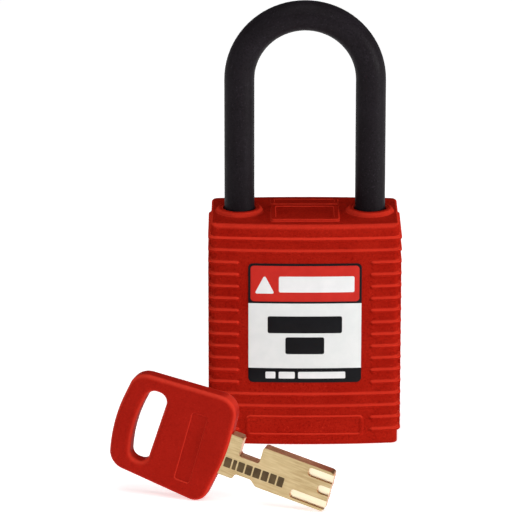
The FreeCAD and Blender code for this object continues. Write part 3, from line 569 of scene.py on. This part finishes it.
def key_matrix(rise):
    """Places the key's own plane: X along the blade, Z out of its front face."""
    along = Vector((math.cos(KEY_YAW) * math.cos(KEY_DIP), -math.sin(KEY_YAW) * math.cos(KEY_DIP),
                    -math.sin(KEY_DIP)))
    outwards = Vector((-math.sin(KEY_YAW), -math.cos(KEY_YAW), 0))
    upwards = outwards.cross(along)
    turn = Matrix((along, upwards, outwards)).transposed().to_4x4()
    return Matrix.Translation(KEY_PLACE + Vector((0, 0, rise))) @ turn


def edge_profile(half, radius, outwards):
    """Offsets and levels round a plate's edge, from its back face over both rims to its front."""
    sign = -1 if outwards else 1
    steps = 9
    profile = [(sign * (radius + 0.05), -half)]
    for side in (-1, 1):
        for step in range(steps + 1):
            angle = math.pi / 2 * (step if side > 0 else steps - step) / steps
            profile.append((sign * radius * (1 - math.cos(angle)),
                            side * (half - radius + radius * math.sin(angle))))
    profile.append((sign * (radius + 0.05), half))
    return profile


def make_bow(material):
    """Moulded grip with a soft rim, a slot for a ring and a plain sunk panel on each face."""
    piece = Piece()
    thick = BOW_HALF_THICKNESS
    outline = rounded_outline(BOW_CORNERS, BOW_RADII, steps=12, divide=0.8)
    outer = profile_loops(piece, outline, edge_profile(thick, BOW_RIM, True))
    piece.chain(outer)
    slot = rounded_outline(RING_SLOT_CORNERS, RING_SLOT_RADII, steps=10, divide=0.8)
    inner = profile_loops(piece, slot, edge_profile(thick, SLOT_RIM, False))
    piece.chain(inner)
    panel = rounded_outline(box_corners(*BOW_PANEL), 0.7, steps=5, divide=1.0)
    sunk = [(0.1, 0.0), (0.0, 0.0), (-0.07, 0.05), (-0.12, 0.2), (-0.2, 0.25), (-0.32, 0.25)]
    for side, ring, hole in ((-1, outer[0], inner[0]), (1, outer[-1], inner[-1])):
        rings = profile_loops(piece, panel,
                              [(offset, side * (thick - depth)) for offset, depth in sunk])
        piece.chain(rings)
        piece.fill(rings[-1])
        piece.fill(ring, (hole, rings[0]))
    place_key_piece(piece)
    bow = piece.make("key_grip", material, "key_body", "key_nylon", 60)
    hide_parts("key_bow")


def place_key_piece(piece):
    turn = key_matrix(key_rise())
    piece.points = [turn @ point for point in piece.points]


def key_rise():
    """Height of the key's origin, from the blade's lowest corner in the frame."""
    low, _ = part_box("key_blade")
    centre = Vector((BLADE_TIP - BLADE_CORNER, BLADE_CORNER - BLADE_HALF_HEIGHT, 0))
    return low.z / MM - (key_matrix(0.0) @ centre).z + BLADE_CORNER


def make_blade_marks(material):
    """A row of plain laser-dark blocks along the blade."""
    piece = Piece()
    thick = BLADE_HALF_THICKNESS
    low, high = -2.55, -0.35
    x = -2.8
    for width in MARK_WIDTHS:
        outline = rounded_outline(box_corners(x, low, x + width, high), 0.15, steps=3)
        rings = profile_loops(piece, outline, [(0, thick - 0.05), (0, thick + 0.012)])
        piece.chain(rings)
        piece.fill(rings[0])
        piece.fill(rings[-1])
        x += width + MARK_GAP
    place_key_piece(piece)
    piece.make("blade_marks", material, "key_body", "brass", 30)


# Materials

UP = Vector((0, 0, 1))


def linear(red, green, blue):
    """Linear colour from 0 to 255 display values."""
    def channel(value):
        value /= 255
        return value / 12.92 if value <= 0.04045 else ((value + 0.055) / 1.055) ** 2.4
    return (channel(red), channel(green), channel(blue), 1.0)


class Finish:
    """A Principled material and the node chains that feed it."""

    def __init__(self, name, colour, roughness, metallic=0.0, specular=0.5):
        self.material = bpy.data.materials.new(name)
        self.material.use_nodes = True
        self.tree = self.material.node_tree
        self.shader = self.tree.nodes["Principled BSDF"]
        self.shader.inputs["Base Color"].default_value = colour
        self.shader.inputs["Roughness"].default_value = roughness
        self.shader.inputs["Metallic"].default_value = metallic
        self.shader.inputs["Specular IOR Level"].default_value = specular
        self.place = self.tree.nodes.new("ShaderNodeTexCoord").outputs["Object"]
        self.bump_normal = None

    def node(self, kind, **inputs):
        made = self.tree.nodes.new(kind)
        for name, value in inputs.items():
            self.feed(made.inputs[name.replace("_", " ")], value)
        return made

    def feed(self, socket, value):
        if isinstance(value, bpy.types.NodeSocket):
            self.tree.links.new(value, socket)
        else:
            socket.default_value = value

    def stretched(self, scale):
        """Object coordinates scaled per axis."""
        mapping = self.tree.nodes.new("ShaderNodeMapping")
        self.feed(mapping.inputs["Vector"], self.place)
        mapping.inputs["Scale"].default_value = scale
        return mapping.outputs["Vector"]

    def turned(self, along, scale):
        """Object coordinates turned so that X runs along a direction, then scaled per axis."""
        turn = self.tree.nodes.new("ShaderNodeMapping")
        turn.inputs["Rotation"].default_value = along.to_track_quat("X", "Z").inverted().to_euler()
        self.feed(turn.inputs["Vector"], self.place)
        squeeze = self.tree.nodes.new("ShaderNodeMapping")
        squeeze.inputs["Scale"].default_value = scale
        self.feed(squeeze.inputs["Vector"], turn.outputs["Vector"])
        return squeeze.outputs["Vector"]

    def along(self, vector, direction, origin=(0, 0, 0)):
        """How far a vector reaches along a direction, measured from an origin."""
        offset = self.tree.nodes.new("ShaderNodeVectorMath")
        offset.operation = "SUBTRACT"
        self.feed(offset.inputs[0], vector)
        offset.inputs[1].default_value = origin
        dot = self.tree.nodes.new("ShaderNodeVectorMath")
        dot.operation = "DOT_PRODUCT"
        self.feed(dot.inputs[0], offset.outputs["Vector"])
        dot.inputs[1].default_value = direction
        return dot.outputs["Value"]

    def absolute(self, value):
        made = self.tree.nodes.new("ShaderNodeMath")
        made.operation = "ABSOLUTE"
        self.feed(made.inputs[0], value)
        return made.outputs["Value"]

    def times(self, first, second):
        made = self.tree.nodes.new("ShaderNodeMath")
        made.operation = "MULTIPLY"
        self.feed(made.inputs[0], first)
        self.feed(made.inputs[1], second)
        return made.outputs["Value"]

    def noise(self, scale, detail=3.0, rough=0.55, place=None):
        made = self.node("ShaderNodeTexNoise", Scale=scale, Detail=detail, Roughness=rough)
        self.feed(made.inputs["Vector"], place or self.place)
        return made.outputs["Fac"]

    def spread(self, factor, stops):
        """Colour ramp over a factor: (position, colour) stops."""
        ramp = self.tree.nodes.new("ShaderNodeValToRGB")
        self.feed(ramp.inputs["Fac"], factor)
        elements = ramp.color_ramp.elements
        while len(elements) < len(stops):
            elements.new(0.5)
        for element, (position, colour) in zip(elements, stops):
            element.position = position
            element.color = colour
        return ramp.outputs["Color"]

    def range(self, factor, low, high, start, end):
        """Low to high as a factor goes from start to end, clamped."""
        made = self.node("ShaderNodeMapRange", Value=factor)
        made.inputs["From Min"].default_value = start
        made.inputs["From Max"].default_value = end
        made.inputs["To Min"].default_value = low
        made.inputs["To Max"].default_value = high
        return made.outputs["Result"]

    def mix(self, factor, first, second):
        made = self.tree.nodes.new("ShaderNodeMix")
        made.data_type = "RGBA"
        self.feed(made.inputs["Factor"], factor)
        self.feed(made.inputs[6], first)
        self.feed(made.inputs[7], second)
        return made.outputs[2]

    def colour(self, value):
        self.feed(self.shader.inputs["Base Color"], value)

    def roughness(self, value):
        self.feed(self.shader.inputs["Roughness"], value)

    def bump(self, height, strength, distance):
        made = self.tree.nodes.new("ShaderNodeBump")
        made.inputs["Strength"].default_value = strength
        made.inputs["Distance"].default_value = distance
        self.feed(made.inputs["Height"], height)
        if self.bump_normal:
            self.feed(made.inputs["Normal"], self.bump_normal)
        self.bump_normal = made.outputs["Normal"]
        self.feed(self.shader.inputs["Normal"], self.bump_normal)


def moulded(name, base, dark, darkest, bright, roughness, grain, specular, painted_highlight=0.0, rim=None):
    """Moulded nylon: fine pebbled grain, light flecks and cloudy colour, with a painted highlight
    on upward-facing slopes and, given a rim direction, on the rounded rim.
    """
    finish = Finish(name, base, roughness, specular=specular)
    cloud = finish.spread(finish.noise(140.0, 4.0), [(0.3, dark), (0.7, base)])
    pebble = finish.range(finish.noise(2300.0, 3.0, 0.7), 0.0, grain * 1.6, 0.52, 0.32)
    grained = finish.mix(pebble, cloud, darkest)
    speck = finish.range(finish.noise(3000.0, 2.0, 0.6), 0.0, grain, 0.6, 0.8)
    flecked = finish.mix(speck, grained, bright)
    # Painted highlight: surfaces sloping partly upwards, short of flat tops, are mixed towards the
    # bright colour, more weakly above the band's top.
    geometry = finish.tree.nodes.new("ShaderNodeNewGeometry")
    slope = finish.along(geometry.outputs["Normal"], UP)
    upward_highlight = finish.range(slope, 0.0, painted_highlight, 0.12, 0.5)
    upper = finish.range(slope, 1.0, 0.0, 0.86, 0.97)
    height = finish.along(finish.place, UP)
    below_top = finish.range(height, 1.0, 0.7, BAND_TOP * MM, (BAND_TOP + 0.5) * MM)
    highlighted = finish.mix(finish.times(finish.times(upward_highlight, upper), below_top), flecked, bright)
    # Painted highlight along the rounded rim: surfaces turning from the rim direction are mixed
    # towards the bright colour.
    if rim:
        facing = finish.absolute(finish.along(geometry.outputs["Normal"], rim))
        rim_highlight = finish.times(finish.range(facing, 0.0, 1.0, 0.1, 0.4),
                              finish.range(facing, 0.32, 0.0, 0.7, 0.92))
        highlighted = finish.mix(rim_highlight, highlighted, bright)
    finish.colour(highlighted)
    patches = finish.noise(900.0, 3.0)
    finish.roughness(finish.range(patches, roughness - 0.06, roughness + 0.08, 0.3, 0.7))
    finish.bump(finish.noise(2200.0, 4.0, 0.6), grain, 0.00012)
    finish.bump(finish.noise(260.0, 2.0), grain * 0.5, 0.0003)
    return finish.material


def printed(name, base, tint, roughness):
    """Screen-printed vinyl with a faint mottle."""
    finish = Finish(name, base, roughness, specular=0.12)
    finish.colour(finish.spread(finish.noise(420.0, 4.0), [(0.35, tint), (0.65, base)]))
    patches = finish.noise(700.0)
    finish.roughness(finish.range(patches, roughness - 0.05, roughness + 0.06, 0.3, 0.7))
    finish.bump(finish.noise(1500.0, 3.0), 0.05, 0.0001)
    return finish.material


def metal(name, base, dark, roughness, brush):
    """Machined metal with fine directional marks."""
    finish = Finish(name, base, roughness, 1.0)
    marks = finish.noise(260.0, 6.0, 0.65, finish.stretched(brush))
    finish.colour(finish.spread(marks, [(0.3, dark), (0.65, base)]))
    finish.roughness(finish.range(marks, roughness - 0.08, roughness + 0.1, 0.3, 0.7))
    finish.bump(marks, 0.12, 0.00005)
    return finish.material


def blade_metal(name):
    """Key brass: brushed faces, brighter milled slots, and edge faces in a darker, redder brass
    painted as a reflection of the red grip and dark surroundings.
    """
    finish = Finish(name, linear(205, 180, 132), 0.34, 1.0)
    turn = key_matrix(0.0)
    along, outwards = turn.col[0].to_3d(), turn.col[2].to_3d()
    marks = finish.noise(2600.0, 5.0, 0.6, finish.turned(along, (0.1, 1.0, 1.0)))
    cloud = finish.spread(finish.noise(170.0, 3.0),
                          [(0.3, linear(168, 144, 102)), (0.7, linear(188, 166, 124))])
    face = finish.mix(finish.range(marks, 0.0, 0.7, 0.4, 0.7), cloud, linear(212, 192, 150))
    depth = finish.along(finish.place, outwards, key_matrix(key_rise()).translation * MM)
    milled = finish.range(finish.absolute(depth), 1.0, 0.0, 0.85 * MM, 1.1 * MM)
    face = finish.mix(milled, face, linear(240, 226, 196))
    # Painted reflection: faces turned away from the key's flat sides get a darker, redder brass for
    # the red grip and dark surroundings they reflect.
    geometry = finish.tree.nodes.new("ShaderNodeNewGeometry")
    facing = finish.absolute(finish.along(geometry.outputs["True Normal"], outwards))
    finish.colour(finish.mix(finish.range(facing, 1.0, 0.0, 0.4, 0.8), face, linear(196, 142, 98)))
    finish.roughness(finish.range(marks, 0.28, 0.44, 0.3, 0.7))
    finish.bump(marks, 0.15, 0.00004)
    return finish.material


def wire_metal(name):
    finish = Finish(name, linear(190, 192, 198), 0.25, 1.0)
    finish.roughness(finish.range(finish.noise(1800.0), 0.18, 0.34, 0.3, 0.7))
    finish.bump(finish.noise(2400.0), 0.06, 0.00003)
    return finish.material


def make_materials():
    # The red body and key nylons are lightened on upward slopes as painted highlight, and the key
    # nylon also along its rim.
    red = moulded("red_nylon", linear(160, 29, 17), linear(147, 22, 12), linear(112, 10, 5),
                  linear(228, 60, 42), roughness=0.56, grain=0.42, specular=0.0, painted_highlight=0.6)
    black = moulded("black_nylon", linear(30, 26, 30), linear(24, 20, 23), linear(11, 8, 10),
                    linear(72, 64, 74), roughness=0.46, grain=0.4, specular=0.05)
    grip = moulded("key_nylon", linear(166, 28, 17), linear(155, 24, 13), linear(124, 12, 6),
                   linear(230, 66, 48), roughness=0.45, grain=0.22, specular=0.02, painted_highlight=0.3,
                   rim=key_matrix(0.0).col[2].to_3d())
    grey = moulded("grey_nylon", linear(70, 70, 74), linear(56, 56, 60), linear(44, 44, 48),
                   linear(98, 98, 102), roughness=0.5, grain=0.2, specular=0.3)
    return {
        "red_nylon": red,
        "black_nylon": black,
        "key_nylon": grip,
        "grey_nylon": grey,
        "vinyl": printed("label_vinyl", linear(221, 223, 222), linear(216, 219, 218), 0.38),
        "print_black": printed("label_black", linear(8, 8, 12), linear(12, 12, 16), 0.4),
        "print_red": printed("label_red", linear(192, 38, 28), linear(184, 34, 25), 0.34),
        "print_white": printed("label_white", linear(226, 226, 226), linear(220, 221, 221), 0.36),
        "mark": printed("laser_mark", linear(98, 80, 54), linear(78, 62, 42), 0.6),
        "blade": blade_metal("key_brass"),
        "brass": metal("turned_brass", linear(212, 178, 112), linear(188, 150, 86), 0.3,
                       brush=(1, 1, 14)),
        "steel": metal("bright_steel", linear(196, 198, 202), linear(160, 162, 168), 0.28,
                       brush=(1, 1, 10)),
        "zinc": metal("cast_zinc", linear(170, 172, 176), linear(140, 142, 148), 0.42,
                      brush=(1, 1, 1)),
        "spring_steel": wire_metal("spring_wire"),
    }


NODE_FINISH = {"key_blade": "blade"}
SLOT_FINISH = {"label_print": "vinyl"}


def finish_cad_nodes(finishes):
    """Gives every CAD node its material."""
    for row in frame["record"]["subparts"]:
        name, slot = row["node"], row["material_slot"]
        piece = nodes[name]
        finish = finishes[NODE_FINISH.get(name, SLOT_FINISH.get(slot, slot))]
        for material_slot in piece.material_slots:
            material_slot.material = finish
        if not piece.material_slots:
            piece.data.materials.append(finish)


def soften_edges(name, width):
    """Breaks the sharp edges of a CAD node."""
    piece = nodes[name]
    weld = piece.modifiers.new("join_seams", "WELD")
    weld.merge_threshold = 0.000002
    bevel = piece.modifiers.new("broken_edges", "BEVEL")
    bevel.width = width * MM
    bevel.segments = 2
    bevel.limit_method = "ANGLE"
    bevel.angle_limit = math.radians(35)
    bevel.harden_normals = True


# Stage

def make_floor():
    mesh = bpy.data.meshes.new("floor")
    reach = 6.0
    corners = [(x, y, 0) for x, y in box_corners(-reach, -reach, reach, reach)]
    mesh.from_pydata(corners, [], [(0, 1, 2, 3)])
    finish = Finish("floor_paper", linear(250, 250, 250), 0.9, specular=0.1)
    stops = [(0.4, linear(248, 248, 248)), (0.6, linear(252, 252, 252))]
    finish.colour(finish.spread(finish.noise(4.0), stops))
    finish.shader.inputs["Emission Color"].default_value = (1, 1, 1, 1)
    finish.shader.inputs["Emission Strength"].default_value = 0.6
    mesh.materials.append(finish.material)
    floor = bpy.data.objects.new("floor", mesh)
    floor.location.z = -0.00002
    bpy.context.scene.collection.objects.link(floor)


def area_light(name, place, target, width, height, power):
    data = bpy.data.lights.new(name, "AREA")
    data.shape = "RECTANGLE"
    data.size = width
    data.size_y = height
    data.energy = power
    light = bpy.data.objects.new(name, data)
    light.location = place
    light.rotation_euler = (Vector(target) - Vector(place)).to_track_quat("-Z", "Y").to_euler()
    bpy.context.scene.collection.objects.link(light)


def make_lights():
    target = (-0.01, 0, 0.04)
    area_light("front_softbox", (0.06, -0.28, 0.34), target, 0.22, 0.14, 0.39)
    area_light("left_softbox", (-0.75, -0.45, 0.4), target, 0.35, 0.5, 1.2)
    area_light("right_softbox", (0.75, -0.35, 0.12), target, 0.3, 0.2, 4.4)
    area_light("top_softbox", (0, -0.1, 0.85), target, 0.5, 0.4, 2.5)
    world = bpy.data.worlds.new("studio")
    world.use_nodes = True
    background = world.node_tree.nodes["Background"]
    background.inputs["Color"].default_value = (1, 1, 1, 1)
    background.inputs["Strength"].default_value = 0.14
    bpy.context.scene.world = world


def make_camera():
    elevation = math.radians(17.7)
    distance = 0.9
    target = Vector((-0.0103, 0, 0.0388))
    back = Vector((0, -math.cos(elevation), math.sin(elevation)))
    data = bpy.data.cameras.new("camera")
    data.lens = 298.0
    data.sensor_width = 36.0
    data.clip_start = 0.05
    data.clip_end = 50.0
    camera = bpy.data.objects.new("camera", data)
    camera.location = target + back * distance
    camera.rotation_euler = (-back).to_track_quat("-Z", "Y").to_euler()
    bpy.context.scene.collection.objects.link(camera)
    bpy.context.scene.camera = camera


make_camera()
make_floor()
make_lights()
finishes = make_materials()
finish_cad_nodes(finishes)
make_shell(finishes["red_nylon"])
make_front_label(finishes["vinyl"], finishes["print_black"], finishes["print_red"],
                 finishes["print_white"])
make_back_label(finishes["vinyl"], finishes["print_black"])
make_bow(finishes["key_nylon"])
make_blade_marks(finishes["mark"])
soften_edges("key_blade", 0.1)
bpy.context.scene.view_settings.view_transform = "Standard"
